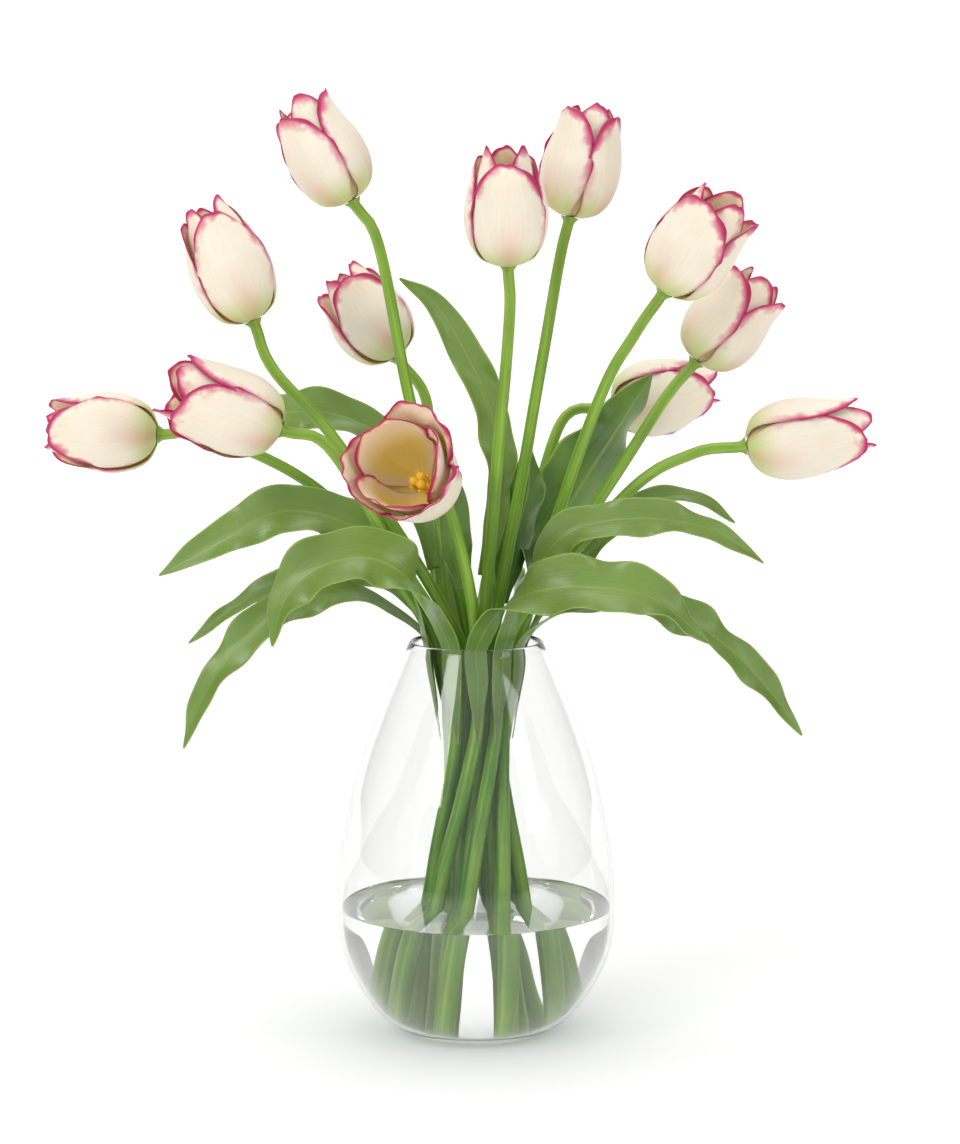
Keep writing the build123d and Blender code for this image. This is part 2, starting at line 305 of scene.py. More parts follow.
# pale is the colour of the stem's streaks: partly the moulded streaks, partly a painted highlight
stemLook = {
    "foot": "86A90C", "low": "437F10", "high": "6F9C2A", "top": "88A93E", "pale": "A9C64A",
    "roughness": 0.38, "ior": 1.46, "cloud": 40, "grooves": 12, "grooveStretch": 7, "bump": 0.3,
    "bumpDepth": 0.0005,
}


def stemMaterial():
    # soft-touch moulded stem: satin green with fine grooves along it, pale streaks along the grooves that are
    # partly a painted highlight, paler at the cut foot
    look = stemLook
    material, tree, shader = newMaterial("softTouchStem", Roughness=look["roughness"], IOR=look["ior"])
    uv = addNode(tree, "UVMap", {}, uv_map="UVMap")
    across = addNode(tree, "SeparateXYZ", {0: uv.outputs[0]})
    where = addNode(tree, "TexCoord", {})
    cloud = addNode(tree, "TexNoise", {"Vector": where.outputs["Object"], "Scale": look["cloud"],
                                       "Detail": 2})
    up = addNode(tree, "MapRange", {0: across.outputs[1], 1: 0.2, 2: 0.65}, interpolation_type="SMOOTHSTEP")
    body = addNode(tree, "Mix", {0: up.outputs[0], 6: colour(look["low"]), 7: colour(look["high"])},
                   data_type="RGBA")
    wet = addNode(tree, "MapRange", {0: across.outputs[1], 1: 0.0, 2: 0.2, 3: 0.75, 4: 0.0})
    body = addNode(tree, "Mix", {0: wet.outputs[0], 6: body.outputs[2], 7: colour(look["foot"])},
                   data_type="RGBA")
    nearTop = addNode(tree, "MapRange", {0: across.outputs[1], 1: 0.8, 2: 1.0, 3: 0.0, 4: 0.8})
    body = addNode(tree, "Mix", {0: nearTop.outputs[0], 6: body.outputs[2], 7: colour(look["top"])},
                   data_type="RGBA")
    stretch = addNode(tree, "Mapping", {"Vector": uv.outputs[0],
                                        "Scale": (look["grooves"], look["grooveStretch"], 1)})
    grooves = addNode(tree, "TexNoise", {"Vector": stretch.outputs[0], "Scale": 1.0, "Detail": 3})
    # pale streaks along the moulded grooves, lightened as well to act as a painted highlight on the stem
    streakAndHighlight = addNode(tree, "MapRange", {0: grooves.outputs[0], 1: 0.42, 2: 0.7, 3: 0.0, 4: 0.55})
    body = addNode(tree, "Mix", {0: streakAndHighlight.outputs[0], 6: body.outputs[2], 7: colour(look["pale"])},
                   data_type="RGBA")
    shade = addNode(tree, "MapRange", {0: cloud.outputs[0], 1: 0.3, 2: 0.7, 3: 0.82, 4: 1.08})
    body = addNode(tree, "VectorMath", {0: body.outputs[2], "Scale": shade.outputs[0]}, operation="SCALE")
    tree.links.new(body.outputs[0], shader.inputs["Base Color"])
    bump = addNode(tree, "Bump", {"Height": grooves.outputs[0], "Strength": look["bump"],
                                  "Distance": look["bumpDepth"]})
    tree.links.new(bump.outputs[0], shader.inputs["Normal"])
    return material


clearLook = {"glassIor": 1.47, "resinIor": 1.49, "body": "FFFFFF", "through": "EEF1F0"}


def clearMaterial(name, ior):
    # clear and polished: lamps and soft light pass straight through, so what it holds stays bright
    material, tree, shader = newMaterial(name, Roughness=0.0, IOR=ior, Transmission_Weight=1.0)
    shader.inputs["Base Color"].default_value = colour(clearLook["body"])
    path = addNode(tree, "LightPath", {})
    soft = addNode(tree, "Math", {0: path.outputs["Is Shadow Ray"], 1: path.outputs["Is Diffuse Ray"]},
                   operation="MAXIMUM")
    through = addNode(tree, "BsdfTransparent", {"Color": colour(clearLook["through"])})
    mixed = addNode(tree, "MixShader", {0: soft.outputs[0], 1: shader.outputs[0], 2: through.outputs[0]})
    tree.links.new(mixed.outputs[0], tree.nodes["Material Output"].inputs["Surface"])
    return material


pollenLook = {"deep": "EDB51E", "light": "F8DC5A", "roughness": 0.8, "ior": 1.45, "grain": 900, "bump": 0.5,
              "bumpDepth": 0.0004}


def pollenMaterial():
    # moulded flower centre, flocked with yellow dust: matt and grainy
    look = pollenLook
    material, tree, shader = newMaterial("flockedCentre", Roughness=look["roughness"], IOR=look["ior"])
    where = addNode(tree, "TexCoord", {})
    grain = addNode(tree, "TexNoise", {"Vector": where.outputs["Object"], "Scale": look["grain"],
                                       "Detail": 2})
    body = addNode(tree, "Mix", {0: grain.outputs[0], 6: colour(look["deep"]), 7: colour(look["light"])},
                   data_type="RGBA")
    tree.links.new(body.outputs[2], shader.inputs["Base Color"])
    bump = addNode(tree, "Bump", {"Height": grain.outputs[0], "Strength": look["bump"],
                                  "Distance": look["bumpDepth"]})
    tree.links.new(bump.outputs[0], shader.inputs["Normal"])
    return material


wireLook = {"dark": "8A8C8E", "light": "B4B6B8", "roughness": 0.35, "across": 2000, "along": 40}


def wireMaterial():
    # drawn steel wire: satin, with drawing marks along it
    look = wireLook
    material, tree, shader = newMaterial("drawnSteelWire", Metallic=1.0, Roughness=look["roughness"])
    where = addNode(tree, "TexCoord", {})
    marks = addNode(tree, "Mapping", {"Vector": where.outputs["Object"],
                                      "Scale": (look["across"], look["across"], look["along"])})
    grain = addNode(tree, "TexNoise", {"Vector": marks.outputs[0], "Scale": 1.0})
    body = addNode(tree, "Mix", {0: grain.outputs[0], 6: colour(look["dark"]), 7: colour(look["light"])},
                   data_type="RGBA")
    tree.links.new(body.outputs[2], shader.inputs["Base Color"])
    return material


petalOutside = petalMaterial("airbrushedPetal", False)
petalInside = petalMaterial("airbrushedPetalInside", True)
leafTop, leafBack = leafMaterial("softTouchLeaf", False), leafMaterial("softTouchLeafBack", True)
stemSkin, pollen, steel = stemMaterial(), pollenMaterial(), wireMaterial()
blownGlass = clearMaterial("blownSodaLimeGlass", clearLook["glassIor"])
castResin = clearMaterial("castClearResin", clearLook["resinIor"])
print("materials made")


# ---- vase and resin

vase = {
    "outline": [(34, 0), (49, 8.5), (62.5, 27), (70, 46), (71.5, 66), (70.6, 87), (67.3, 107), (63, 128),
                (57, 148), (50, 166), (46, 176), (34.2, 203)],
    "wall": 2.2, "floor": 4.0, "rings": 44, "turns": 128,
}
resin = {"level": 66, "gap": 0.06, "creep": 0.9, "creepWidth": 6, "lip": 0.5, "heel": 3, "steps": 10}


def vaseWall(inset):
    line = evenLine([Vector((r * mm, 0, h * mm)) for r, h in vase["outline"]], vase["rings"])
    moved = []
    for k, spot in enumerate(line):
        way = headingAt(line, k)
        moved.append(spot + Vector((-way.z, 0, way.x)) * inset * mm)
    return moved


def spinProfile(name, profile, turns):
    # one vertex, extruded along the profile and spun round the upright axis
    bpy.ops.object.select_all(action="DESELECT")
    bpy.ops.mesh.primitive_plane_add(size=0.001, location=profile[0])
    piece = bpy.context.object
    piece.name = name
    bpy.ops.object.mode_set(mode="EDIT")
    bpy.ops.mesh.select_all(action="SELECT")
    bpy.ops.mesh.merge(type="CENTER")
    for a, b in zip(profile, profile[1:]):
        bpy.ops.mesh.extrude_region_move(TRANSFORM_OT_translate={"value": b - a})
    bpy.ops.mesh.select_all(action="SELECT")
    bpy.ops.mesh.spin(steps=turns, angle=rad(360), center=(0, 0, 0), axis=(0, 0, 1))
    bpy.ops.mesh.select_all(action="SELECT")
    bpy.ops.mesh.remove_doubles(threshold=0.00001)
    bpy.ops.mesh.normals_make_consistent(inside=False)
    bpy.ops.object.mode_set(mode="OBJECT")
    pickOnly(piece)
    bpy.ops.object.transform_apply(location=True, rotation=True, scale=True)
    bpy.ops.object.shade_smooth_by_angle(angle=rad(40))
    return piece


def makeVase():
    outer, inner = vaseWall(0), vaseWall(vase["wall"])
    top, across = outer[-1], (inner[-1] - outer[-1]) / 2
    up = Vector((across.z, 0, -across.x))
    rim = [top + across * (1 - math.cos(rad(a))) + up * math.sin(rad(a)) for a in (30, 60, 90, 120, 150)]
    floor = Vector((0, 0, vase["floor"] * mm))
    foot = inner[0] + Vector((0, 0, (vase["floor"] - vase["wall"]) * mm))
    profile = [Vector((0, 0, 0)), *outer, *rim, *reversed(inner[1:]), foot, floor]
    return spinProfile("blownVase", profile, vase["turns"])


def makeResin():
    # cast against the glass, with the level creeping up a little where it meets the wall
    level, bottom = resin["level"] * mm, (vase["floor"] + resin["gap"]) * mm
    wall = vaseWall(vase["wall"] + resin["gap"])
    side = [spot for spot in wall if bottom + 0.2 * mm < spot.z < level - 2 * mm]
    edge = min(wall, key=lambda spot: abs(spot.z - level)).x
    creep = []
    for k in range(resin["steps"] + 1):
        share = k / resin["steps"]
        rise = resin["creep"] * math.exp(-share * 5) - resin["lip"]
        creep.append(Vector((edge - share * resin["creepWidth"] * mm, 0, level + rise * mm)))
    start = Vector((side[0].x - resin["heel"] * mm, 0, bottom))
    profile = [Vector((0, 0, bottom)), start, *side, *creep, Vector((0, 0, creep[-1].z))]
    return spinProfile("castResinWater", profile, vase["turns"])


vaseObject = makeVase()
vaseObject.data.materials.append(blownGlass)
standFor(vaseObject, "glass", "vase")
resinObject = makeResin()
resinObject.data.materials.append(castResin)
standFor(resinObject, "resin", "clear_resin")
print("vase and resin made")


# ---- the bundle: rings of stems, then each tulip and each leaf

bundle = {
    "foot": 8, "waist": 158, "mouth": 205, "twist": -70, "cup": 3, "straight": 24,
    "outer": {"foot": 37, "waist": 14.2, "mouth": 21.5},
    "inner": {"foot": 17, "waist": 6.5, "mouth": 9.5},
    "radii": [(8, 4.9), (158, 3.3), (205, 3.2)], "topRadius": 2.8, "cupRadius": 4.9,
}

# ring, angle at the waist, bend, where the bloom starts, the way it faces, length, opening, turn
tulips = {
    "01": ("inner", 112.5, (-33, -1, 325), (-61, 5, 425), (-28, 0, 48), 60, 0.10, 110),
    "02": ("inner", 202.5, (-65, -16, 300), (-110, -25, 366), (-24, 0, 57), 64, 0.05, 40),
    "03": ("outer", 135.0, (-24, 42, 285), (-40, 65, 342), (-28, 4, 40), 54, 0.10, 40),
    "04": ("inner", 292.5, (11, -20, 300), (16, -35, 394), (-2, -12, 57), 60, 0.10, 30),
    "05": ("inner", 22.5, (24, 9, 290), (47, 15, 416), (12, 2, 54), 58, 0.12, 98),
    "06": ("outer", 0.0, (60, -18, 324), (92, -28, 381), (30, -10, 46), 58, 0.35, 5),
    "07": ("outer", 45.0, (61, 14, 271), (111, 20, 343), (35, 2, 43), 56, 0.15, 95),
    "08": ("outer", 180.0, (-75, 6, 276), (-159, 5, 309), (-57, 0, 2), 60, 0.05, 30),
    "09": ("outer", 225.0, (-38, -33, 248), (-94, -45, 315), (-53, -12, 22), 62, 0.40, 5),
    "10": ("outer", 270.0, (-4, -36, 240), (-22, -58, 287), (-14, -38, 16), 54, 1.00, 25),
    "11": ("outer", 90.0, (28, 58, 262), (70, 90, 315), (57, 6, 13), 58, 0.10, 45),
    "12": ("outer", 315.0, (75, -24, 281), (132, -30, 306), (64, -2, 10), 64, 0.05, 55),
}
stem = {"columns": 16, "rows": 76, "ribs": 5, "swells": 40, "ribDepth": 0.032}


def vector(point):
    return Vector(point) * mm


def stemLine(tulip):
    ring, angle, bend, head, facing = tulip[:5]
    sizes = bundle[ring]
    foot = polar(sizes["foot"], angle + bundle["twist"], bundle["foot"]) * mm
    waist = polar(sizes["waist"], angle, bundle["waist"]) * mm
    mouth = polar(sizes["mouth"], angle, bundle["mouth"]) * mm
    way = Vector(facing).normalized()
    points = [foot, foot.lerp(waist, 0.5), waist, mouth, vector(bend),
              vector(head) - way * bundle["straight"] * mm, vector(head)]
    return evenLine(points, stem["rows"]), way


def stemRadius(height, headHeight):
    stations = [*bundle["radii"], (headHeight, bundle["topRadius"])]
    for (low, a), (high, b) in zip(stations, stations[1:]):
        if height <= high:
            return blend(a, b, max((height - low) / (high - low), 0))
    return bundle["topRadius"]


def addTube(name, columns, line, radii, ribDepth):
    # a grid rolled round the line, sewn along its seam and closed at both ends
    rows = len(line) - 1

    def wrap(u, v):
        k = round(v * rows)
        way = headingAt(line, k)
        side = Vector((0, 1, 0)).cross(way).normalized()
        turn = u * 2 * math.pi
        rib = 1 + ribDepth * (math.cos(stem["ribs"] * turn + 3 * v) + math.sin(v * stem["swells"] + turn))
        return line[k] + (side * math.cos(turn) + way.cross(side) * math.sin(turn)) * radii[k] * rib * mm

    piece = addSheet(name, columns, rows, wrap)
    bpy.ops.object.mode_set(mode="EDIT")
    bpy.ops.mesh.select_all(action="SELECT")
    bpy.ops.mesh.remove_doubles(threshold=0.00002)
    bpy.ops.mesh.select_all(action="DESELECT")
    bpy.ops.mesh.select_non_manifold()
    bpy.ops.mesh.edge_face_add()
    bpy.ops.mesh.select_all(action="SELECT")
    bpy.ops.mesh.normals_make_consistent(inside=False)
    bpy.ops.object.mode_set(mode="OBJECT")
    bpy.ops.object.shade_smooth_by_angle(angle=rad(50))
    return piece


def makeStem(number, tulip):
    line, way = stemLine(tulip)
    radii = [stemRadius(p.z / mm, tulip[3][2]) for p in line]
    line += [line[-1] + way * bundle["cup"] * mm * share for share in (0.35, 0.7, 1)]
    radii += [blend(bundle["topRadius"], bundle["cupRadius"], share) for share in (0.25, 0.65, 1)]
    piece = addTube(f"stem{number}", stem["columns"], line, radii, stem["ribDepth"])
    piece.data.materials.append(stemSkin)
    return piece


wire = {"radius": 0.9, "columns": 8}


def makeWires():
    cores = []
    for number, tulip in tulips.items():
        line = stemLine(tulip)[0]
        cores.append(addTube(f"wire{number}", wire["columns"], line, [wire["radius"]] * len(line), 0))
    piece = joinPieces(cores, "stemWires")
    piece.data.materials.append(steel)
    return piece


# ---- petals

petal = {
    "columns": 14, "rows": 20, "thick": 0.6, "footAngle": 48, "angle": 65, "ringGap": 3.4, "lap": 0.7,
    "footRadius": 5.4, "belly": 20.6, "openBelly": 23.0, "rim": 13.5, "openRim": 28.0, "bellyAt": 0.45,
    "ruffle": 1.1, "ruffleLength": 8.5, "outerTall": 0.93, "innerTall": 1.0,
    "innerRuffle": 0.6, "outerRuffle": 1.1, "ruffleDepth": 7.0, "rimSway": 0.8, "dentWidth": 5,
    "sideWave": 0.5, "lengths": (0.95, 1.02), "angles": (0.95, 1.03), "phases": (0, 6),
    "innerCurl": (-2.6, -0.8), "outerCurl": (-0.8, 2.2), "dents": (0.3, 0.8), "leans": (-1.2, 1.2),
    "squareness": (0.8, 1.0),
}


def bloomRadius(share, opening):
    belly = blend(petal["belly"], petal["openBelly"], opening)
    rim = blend(petal["rim"], petal["openRim"], opening)
    if share < petal["bellyAt"]:
        below = 1 - max(share, 0) / petal["bellyAt"]
        return petal["footRadius"] + (belly - petal["footRadius"]) * math.sqrt(1 - below * below)
    return blend(belly, rim, smooth(petal["bellyAt"], 1.05, share))


def makePetal(name, reach, opening, inset, dice):
    reach = reach * dice.uniform(*petal["lengths"])
    half = rad(petal["angle"]) * dice.uniform(*petal["angles"])
    phase, second = dice.uniform(*petal["phases"]), dice.uniform(*petal["phases"])
    curl = dice.uniform(*petal["innerCurl" if inset else "outerCurl"])
    dent, lean = dice.uniform(*petal["dents"]), dice.uniform(*petal["leans"])
    squareness = dice.uniform(*petal["squareness"])
    ruffle = petal["ruffle"] * petal["innerRuffle" if inset else "outerRuffle"]

    def spot(u, v):  # the angle round the cup, the height, and how far from the petal's edge
        s = 2 * u - 1
        if v < 0.5:
            t = v / 0.5
            wide = blend(rad(petal["footAngle"]), half, math.sin(t * math.pi / 2))
            up = t * reach / 2
            return s * wide, up, (1 - abs(s)) * wide * bloomRadius(up / reach, opening)
        t = (v - 0.5) / 0.5
        wide = math.sqrt(1 - squareness * t * t / 2)
        tall = math.sqrt(1 - s * s / 2)
        gap = max(1 - math.hypot(s * wide, t * tall), 0)
        return s * wide * half, reach / 2 * (1 + t * tall), gap * half * petal["belly"]

    def cupped(u, v):
        angle, up, rim = spot(u, v)
        share = up / reach
        radius = bloomRadius(share, opening) - inset
        sideways = angle * radius
        near = smooth(petal["ruffleDepth"], 0.0, rim) * smooth(0.3, 0.6, share)
        along = sideways * 0.9 + up * (0.8 if angle > 0 else -0.8)
        wave = math.sin(along / petal["ruffleLength"] * 2 * math.pi + phase)
        wave += 0.6 * math.sin(along / petal["ruffleLength"] * 3.7 + second)
        radius += near * ruffle * wave * (0.6 + 0.6 * opening)
        radius += petal["lap"] * math.sin(angle) * smooth(0.0, 0.3, share)
        fold = dent * math.exp(-(sideways / petal["dentWidth"]) ** 2)
        radius += curl * smooth(0.7, 1.0, share) - fold * smooth(0.3, 0.7, share)
        radius += petal["sideWave"] * math.sin(angle * 3 + phase) * smooth(0.1, 0.5, share)
        return Vector((radius * math.cos(angle), radius * math.sin(angle) + lean * share,
                       up + near * petal["rimSway"] * math.sin(along * 0.9 + second))) * mm

    piece = addSheet(name, petal["columns"], petal["rows"], cupped)
    columns, rows = petal["columns"] + 1, petal["rows"] + 1
    addRim(piece, [spot((k % columns) / (columns - 1), (k // columns) / (rows - 1))[2]
                   for k in range(len(piece.data.vertices))])
    piece.data.materials.append(petalOutside)
    piece.data.materials.append(petalInside)
    finishWith(piece, "SOLIDIFY", thickness=petal["thick"] * mm, offset=-1, material_offset=1)
    finishWith(piece, "SUBSURF", levels=1, render_levels=1)
    bpy.ops.object.shade_smooth()
    return piece


def bloomPlace(tulip):
    head, facing, turn = vector(tulip[3]), Vector(tulip[4]).normalized(), tulip[7]
    side = Vector((0, 1, 0)).cross(facing).normalized()
    frameOf = Matrix((side, facing.cross(side), facing)).transposed().to_4x4()
    frameOf.translation = head + facing * bundle["cup"] * mm
    return frameOf @ Matrix.Rotation(rad(turn), 4, "Z")


def makeBloom(number, tulip, dice):
    length, opening = tulip[5:7]
    where = bloomPlace(tulip)
    rings = (("outer", 0, petal["outerTall"], 0), ("inner", petal["ringGap"], petal["innerTall"], 60))
    for ring, inset, tall, start in rings:
        pieces = []
        for k in range(3):
            piece = makePetal(f"petal{number}{ring}{k}", length * tall, opening, inset, dice)
            piece.data.transform(where @ Matrix.Rotation(rad(start + 120 * k), 4, "Z"))
            pieces.append(piece)
        standFor(joinPieces(pieces, f"{ring}Petals{number}"), "petal", f"tulip_{number}_{ring}_petals")


for number, tulip in tulips.items():
    standFor(makeStem(number, tulip), "stem", f"tulip_{number}_stem")
standFor(makeWires(), "wire", "stem_wires")
print("stems and wires made")
for number, tulip in tulips.items():
    makeBloom(number, tulip, random.Random(int(number) * 7))
print("blooms made")


# ---- flower centres

centre = {
    "pistil": 2.3, "lobe": 2.4, "tall": 15.5, "filament": 0.6, "filamentTaper": 1.4, "filamentOut": 1.4,
    "filamentTall": 11, "anther": 1.2, "antherLong": 6.5, "antherAt": 13, "lean": 14,
}


def makeCentre():
    parts = []
    bpy.ops.object.select_all(action="DESELECT")
    bpy.ops.mesh.primitive_cylinder_add(vertices=12, radius=centre["pistil"] * mm, depth=centre["tall"] * mm,
                                        location=(0, 0, centre["tall"] / 2 * mm))
    parts.append(bpy.context.object)
    for k in range(3):
        bpy.ops.mesh.primitive_uv_sphere_add(segments=12, ring_count=8, radius=centre["lobe"] * mm)
        lobe = bpy.context.object
        lobe.data.transform(Matrix.Translation(polar(centre["lobe"], 120 * k, centre["tall"]) * mm))
        parts.append(lobe)
    for k in range(6):
        tilt = Matrix.Rotation(rad(60 * k + 30), 4, "Z")
        tilt = tilt @ Matrix.Translation((centre["filamentOut"] * mm, 0, 0))
        tilt = tilt @ Matrix.Rotation(rad(centre["lean"]), 4, "Y")
        bpy.ops.mesh.primitive_cone_add(vertices=8, radius1=centre["filament"] * centre["filamentTaper"] * mm,
                                        radius2=centre["filament"] * mm, depth=centre["filamentTall"] * mm,
                                        location=(0, 0, 0))
        filament = bpy.context.object
        filament.data.transform(tilt @ Matrix.Translation((0, 0, centre["filamentTall"] / 2 * mm)))
        parts.append(filament)
        bpy.ops.mesh.primitive_uv_sphere_add(segments=10, ring_count=8, radius=centre["anther"] * mm)
        anther = bpy.context.object
        longer = Matrix.Diagonal((1, 1, centre["antherLong"] / centre["anther"] / 2, 1))
        anther.data.transform(tilt @ Matrix.Translation((0, 0, centre["antherAt"] * mm)) @ longer)
        parts.append(anther)
    piece = joinPieces(parts, "flowerCentre")
    bpy.ops.object.transform_apply(location=True, rotation=True, scale=True)
    bpy.ops.object.shade_smooth_by_angle(angle=rad(50))
    piece.data.materials.append(pollen)
    return piece


def makeCentres():
    model = makeCentre()
    copies = []
    for tulip in tulips.values():
        pickOnly(model)
        bpy.ops.object.duplicate()
        copies.append(bpy.context.object)
        copies[-1].data.transform(bloomPlace(tulip))
    bpy.data.objects.remove(model)
    return joinPieces(copies, "flowerCentres")


standFor(makeCentres(), "flower_centre", "flower_centres")
print("flower centres made")


# ---- leaves

neck = {"stations": [(18.9, 152), (21.6, 170), (24.8, 187), (28.0, 206)], "footHalf": 0.8, "half": 5.6}
leaf = {
    "columns": 8, "rows": 52, "thick": 0.7, "hollow": 0.3, "hollowPower": 1.6, "sheathHollow": 0.14,
    "wave": 2.6, "waveLength": 46, "fullWaveHalf": 8, "mostWave": 1.3, "sideShift": 1.9, "sway": 9,
    "taperFrom": 0.6, "taperPower": 2.3, "tipHalf": 0.5, "turning": 0.3, "widening": 0.36,
    "freeFootHalf": 3.5, "neckMargin": 1.02,
}

# angle in the neck or None, midrib points above it, width, roll of the blade, twist towards the tip
leaves = {
    "arching_left": (195, [(-38, -13, 244), (-66, -15, 266), (-98, -18, 272), (-131, -20, 257),
                           (-160, -22, 240)], 26, 55, 10),
    "front_fold": (240, [(-31, -44, 238), (-54, -52, 253), (-80, -55, 247), (-95, -56, 231),
                         (-101, -56, 209)], 33, 35, 20),
    "thin_left": (140, [(-42, 22, 228), (-67, 24, 236), (-106, 24, 228), (-129, 22, 214),
                        (-149, 20, 199)], 15, 55, 0),
    "hanging_left": (167, [(-64, 4, 227), (-103, 0, 217), (-127, -4, 194), (-141, -4, 172),
                           (-150, -4, 148)], 19, 45, 20),
    "front_right": (272, [(17, -44, 229), (47, -58, 239), (86, -60, 234), (115, -58, 211)], 31, -50, 0),
    "level_right": (302, [(28, -36, 240), (44, -40, 262), (72, -42, 271), (112, -40, 267),
                          (144, -36, 248)], 20, -50, 0),
    "falling_right": (332, [(50, -20, 224), (83, -22, 227), (119, -20, 209), (144, -18, 186),
                            (166, -16, 157)], 21, -45, -20),
    "behind_right": (5, [(50, 16, 238), (80, 24, 267), (111, 26, 275), (134, 26, 261)], 15, -50, 0),
    "upright_broad": (50, [(32, 34, 240), (54, 44, 277), (76, 52, 311), (92, 56, 336)], 43, 80, 0),
    "back_left": (112, [(-14, 46, 238), (-17, 68, 251), (-20, 90, 240), (-22, 104, 216)], 20, 10, 0),
    "back_right": (83, [(10, 50, 224), (16, 74, 228), (24, 98, 213), (28, 112, 190)], 18, -15, 0),
    "upper_left": (None, [(-22, 17, 238), (-31, 20, 275), (-46, 22, 304), (-74, 24, 318),
                          (-106, 26, 318), (-156, 26, 312)], 21, 50, 10),
    "upright_twist": (None, [(4, 14, 235), (11, 17, 279), (7, 18, 321), (-6, 16, 351),
                             (-21, 14, 375), (-39, 12, 388)], 17, 70, 20),
    "upright_short": (None, [(13, 21, 220), (20, 23, 252), (27, 24, 280), (26, 25, 304)], 19, 85, 0),
    "front_short": (None, [(-6, -17, 232), (-9, -20, 250), (-12, -24, 275), (-16, -26, 298)], 15, -48, 0),
}


def leafHalf(share, width, neckShare):
    if neckShare and share < neckShare:
        return blend(neck["footHalf"], neck["half"], smooth(0, 0.7, share / neckShare))
    start = neck["half"] if neckShare else leaf["freeFootHalf"]
    half = blend(start, width / 2, smooth(neckShare, neckShare + leaf["widening"], share))
    past = max(0, (share - leaf["taperFrom"]) / (1 - leaf["taperFrom"]))
    return half * (1 - past ** leaf["taperPower"]) + leaf["tipHalf"]


def makeLeaf(name, neckAngle, points, width, roll, twist):
    dice = random.Random(name)
    spots = [vector(p) for p in points]
    run = spots[-1] - spots[0]
    heading = math.degrees(math.atan2(run.y, run.x))
    start, neckShare = heading, 0
    if neckAngle is not None:
        start = heading + (neckAngle - heading + 180) % 360 - 180
        spots = [polar(r, neckAngle, h) * mm for r, h in neck["stations"]] + spots
    rows = leaf["rows"]
    line = evenLine(spots, rows)
    length = sum((b - a).length for a, b in zip(line, line[1:])) / mm
    if neckAngle is not None:
        neckShare = (neck["stations"][-1][1] - neck["stations"][0][1]) * leaf["neckMargin"] / length
    phase, phase2 = dice.uniform(0, 6), dice.uniform(0, 6)
    halves = [leafHalf(k / rows, width, neckShare) for k in range(rows + 1)]

    def laid(u, v):
        k = round(v * rows)
        share = k / rows
        turned = smooth(neckShare, neckShare + leaf["turning"], share)
        way = headingAt(line, k)
        side = polar(1, blend(start, heading, turned) + 90, 0)
        side = (side - way * side.dot(way)).normalized()
        tilt = rad(roll) * (turned if neckShare else 1) + rad(twist) * smooth(0.4, 1, share)
        tilt += rad(leaf["sway"]) * math.sin(share * 9 + phase) * turned
        outwards = side * math.cos(tilt) + side.cross(way) * math.sin(tilt)
        under = outwards.cross(way)
        half, s = halves[k], 2 * u - 1
        hollow = -blend(leaf["sheathHollow"], leaf["hollow"], turned) * half * abs(s) ** leaf["hollowPower"]
        turnOf = share * length / leaf["waveLength"] * 2 * math.pi
        wave = math.sin(turnOf + phase + (leaf["sideShift"] if s > 0 else 0))
        wave += 0.5 * math.sin(turnOf * 1.9 + phase2)
        wave *= leaf["wave"] * abs(s) ** 2 * turned * min(half / leaf["fullWaveHalf"], leaf["mostWave"])
        return line[k] + (outwards * s * half + under * (hollow + wave)) * mm

    piece = addSheet(f"leaf{name.title().replace('_', '')}", leaf["columns"], rows, laid)
    columns = leaf["columns"] + 1
    addRim(piece, [(1 - abs(2 * (k % columns) / (columns - 1) - 1)) * halves[k // columns]
                   for k in range(len(piece.data.vertices))])
    piece.data.materials.append(leafTop)
    piece.data.materials.append(leafBack)
    finishWith(piece, "SOLIDIFY", thickness=leaf["thick"] * mm, offset=0, material_offset=1)
    finishWith(piece, "SUBSURF", levels=1, render_levels=1)
    bpy.ops.object.shade_smooth()
    return piece


for name, facts in leaves.items():
    standFor(makeLeaf(name, *facts), "leaf", f"leaf_{name}")
print("leaves made")


# ---- floor and light

studio = {
    "floor": 6.0, "sweep": 0.9, "steps": 12, "white": "F7F7F6", "floorGlow": 0.12, "wallGlow": 0.4,
    "glowFrom": 0.2, "glowTo": 2.4, "room": 0.62, "sides": 0.05, "sideFrom": 0.4, "sideTo": 0.8,
}

# place, size, power and the point each softbox is aimed at
softboxes = [
    ((-0.9, -1.0, 1.0), (0.5, 1.0), 9, (0, 0, 0.25)),
    ((1.1, -0.8, 0.8), (0.4, 1.0), 4, (0, 0, 0.25)),
    ((0.0, 0.2, 1.6), (1.0, 0.8), 6, (0, 0, 0.2)),
]


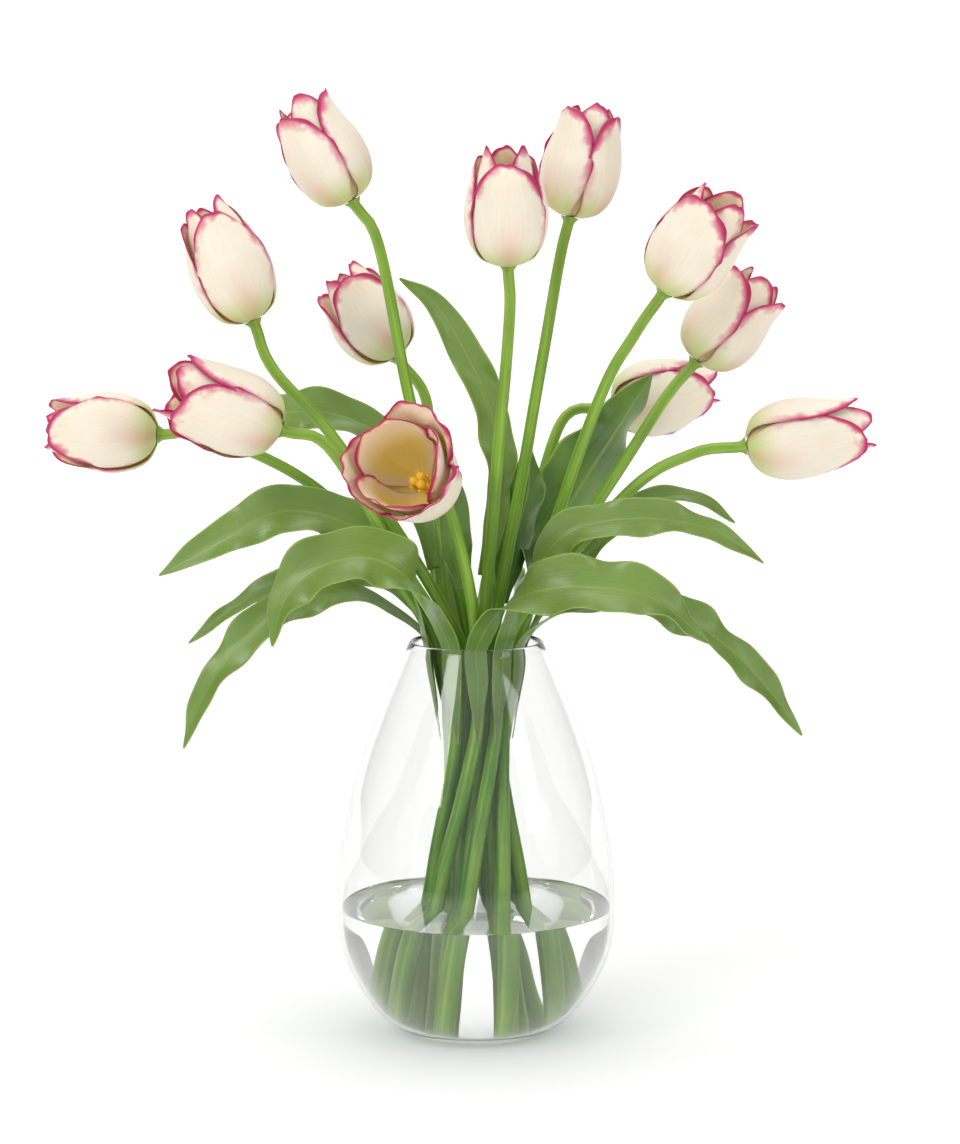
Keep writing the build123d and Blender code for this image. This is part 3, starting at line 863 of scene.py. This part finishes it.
def makeFloor():
    # a white sweep: floor, a wide curve and a wall, with no corner to see
    bpy.ops.object.select_all(action="DESELECT")
    bpy.ops.mesh.primitive_plane_add(size=studio["floor"], location=(0, 0, 0))
    floor = bpy.context.object
    floor.name = "whiteSweep"
    bpy.ops.object.transform_apply(location=True, rotation=True, scale=True)
    half = studio["floor"] / 2
    bpy.ops.object.mode_set(mode="EDIT")
    bpy.ops.mesh.select_mode(type="EDGE")
    bpy.ops.mesh.select_all(action="DESELECT")
    bpy.ops.object.mode_set(mode="OBJECT")
    for edge in floor.data.edges:
        edge.select = all(floor.data.vertices[k].co.y > half - 0.01 for k in edge.vertices)
    bpy.ops.object.mode_set(mode="EDIT")
    for k in range(studio["steps"]):
        low, high = rad(90 * k / studio["steps"]), rad(90 * (k + 1) / studio["steps"])
        step = Vector((0, math.sin(high) - math.sin(low), math.cos(low) - math.cos(high))) * studio["sweep"]
        bpy.ops.mesh.extrude_region_move(TRANSFORM_OT_translate={"value": step})
    bpy.ops.mesh.extrude_region_move(TRANSFORM_OT_translate={"value": (0, 0, studio["floor"])})
    bpy.ops.object.mode_set(mode="OBJECT")
    bpy.ops.object.shade_smooth()
    material, tree, shader = newMaterial("whitePaperSweep", Roughness=0.9)
    shader.inputs["Base Color"].default_value = colour(studio["white"])
    shader.inputs["Emission Color"].default_value = colour("FFFFFF")
    # the wall is further from the lamps than the floor, so it is lifted to the same white
    where = addNode(tree, "TexCoord", {})
    depth = addNode(tree, "SeparateXYZ", {0: where.outputs["Object"]})
    glow = addNode(tree, "MapRange", {0: depth.outputs[1], 1: studio["glowFrom"], 2: studio["glowTo"],
                                      3: studio["floorGlow"], 4: studio["wallGlow"]},
                   interpolation_type="SMOOTHSTEP")
    tree.links.new(glow.outputs[0], shader.inputs["Emission Strength"])
    floor.data.materials.append(material)


def addSoftbox(spot, size, power, aim):
    bpy.ops.object.light_add(type="AREA", location=spot)
    lamp = bpy.context.object
    lamp.data.shape = "RECTANGLE"
    lamp.data.size, lamp.data.size_y = size
    lamp.data.energy = power
    lamp.rotation_euler = (Vector(aim) - Vector(spot)).to_track_quat("-Z", "Y").to_euler()


def makeWorld():
    # a pale room with darker walls to the left and right, which draw the thin outline of clear glass
    world = bpy.data.worlds.new("softRoom")
    world.use_nodes = True
    bpy.context.scene.world = world
    tree = world.node_tree
    where = addNode(tree, "TexCoord", {})
    across = addNode(tree, "SeparateXYZ", {0: where.outputs["Generated"]})
    side = addNode(tree, "Math", {0: across.outputs[0]}, operation="ABSOLUTE")
    light = addNode(tree, "MapRange", {0: side.outputs[0], 1: studio["sideFrom"], 2: studio["sideTo"],
                                       3: studio["room"], 4: studio["sides"]},
                    interpolation_type="SMOOTHSTEP")
    path = addNode(tree, "LightPath", {})
    even = addNode(tree, "Mix", {0: path.outputs["Is Diffuse Ray"], 2: light.outputs[0], 3: studio["room"]})
    tree.links.new(even.outputs[0], tree.nodes["Background"].inputs["Strength"])
    tree.nodes["Background"].inputs["Color"].default_value = colour("FFFFFF")


makeFloor()
makeWorld()
for softbox in softboxes:
    addSoftbox(*softbox)
bpy.context.scene.view_settings.view_transform = "Standard"
print("studio lit")
